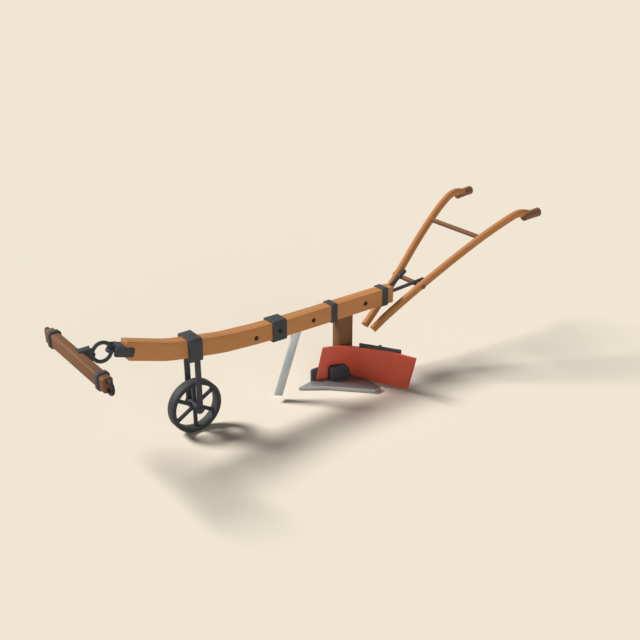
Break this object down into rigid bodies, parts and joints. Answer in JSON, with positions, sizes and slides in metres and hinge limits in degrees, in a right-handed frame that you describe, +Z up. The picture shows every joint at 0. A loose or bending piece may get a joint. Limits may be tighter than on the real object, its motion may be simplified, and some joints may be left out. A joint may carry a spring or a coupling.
{
  "type": "horse-drawn plough",
  "caption": "Walking plough for one horse: bowed wooden beam, curved handles, red mouldboard, flat share, coulter, spoked gauge wheel, draught ring and whippletree.",
  "frame": {"origin": "on the ground under the middle of the whole implement", "axes": "+X forward along the beam towards the whippletree, +Y to the ploughman's left, the side the furrow is turned to, +Z up"},
  "size_m": [3.1542, 0.8974, 0.9665],
  "materials": {
    "beam_wood": "oiled",
    "handle_wood": "oiled",
    "dark_wood": "weathered",
    "grip_wood": "worn",
    "forged_iron": "forged, dark",
    "wheel_iron": "cast, dark",
    "red_paint": "painted, worn",
    "share_steel": "polished by soil",
    "coulter_steel": "dull steel"
  },
  "bodies": {
    "plough": {"beam": "beam_wood", "wheel_clamp": "forged_iron", "fork_bar_left": "forged_iron", "fork_bar_right": "forged_iron", "axle": "forged_iron", "coulter_clamp": "forged_iron", "coulter": "coulter_steel", "standard": "dark_wood", "standard_strap": "forged_iron", "tail_strap": "forged_iron", "frog": "wheel_iron", "landside": "forged_iron", "share": "share_steel", "mouldboard": "red_paint", "mouldboard_brace": "forged_iron", "mouldboard_stay": "forged_iron", "handle_left": "handle_wood", "handle_right": "handle_wood", "grip_left": "grip_wood", "grip_right": "grip_wood", "lower_rung": "dark_wood", "upper_rung": "dark_wood", "tail_brace_left": "forged_iron", "tail_brace_right": "forged_iron", "clevis": "forged_iron"},
    "wheel": {"gauge_wheel": "wheel_iron"},
    "ring": {"draught_ring": "forged_iron"},
    "whippletree": {"ring_clip": "forged_iron", "whippletree": "dark_wood", "ferrule_left": "forged_iron", "ferrule_right": "forged_iron", "trace_ring_left": "forged_iron", "trace_ring_right": "forged_iron"}
  },
  "joints": [
    {"name": "wheel_spin", "type": "hinge", "parent": "plough", "child": "wheel", "pos_m": [0.88465, -0.02525, 0.161], "axis": [0, 1, 0], "continuous": true},
    {"name": "ring_swing", "type": "hinge", "parent": "plough", "child": "ring", "pos_m": [1.37865, -0.02525, 0.655], "axis": [0, 1, 0], "range_deg": [-35, 40]},
    {"name": "whippletree_swivel", "type": "hinge", "parent": "ring", "child": "whippletree", "pos_m": [1.46415, -0.02525, 0.655], "axis": [0, 0, 1], "range_deg": [-45, 45]}
  ]
}
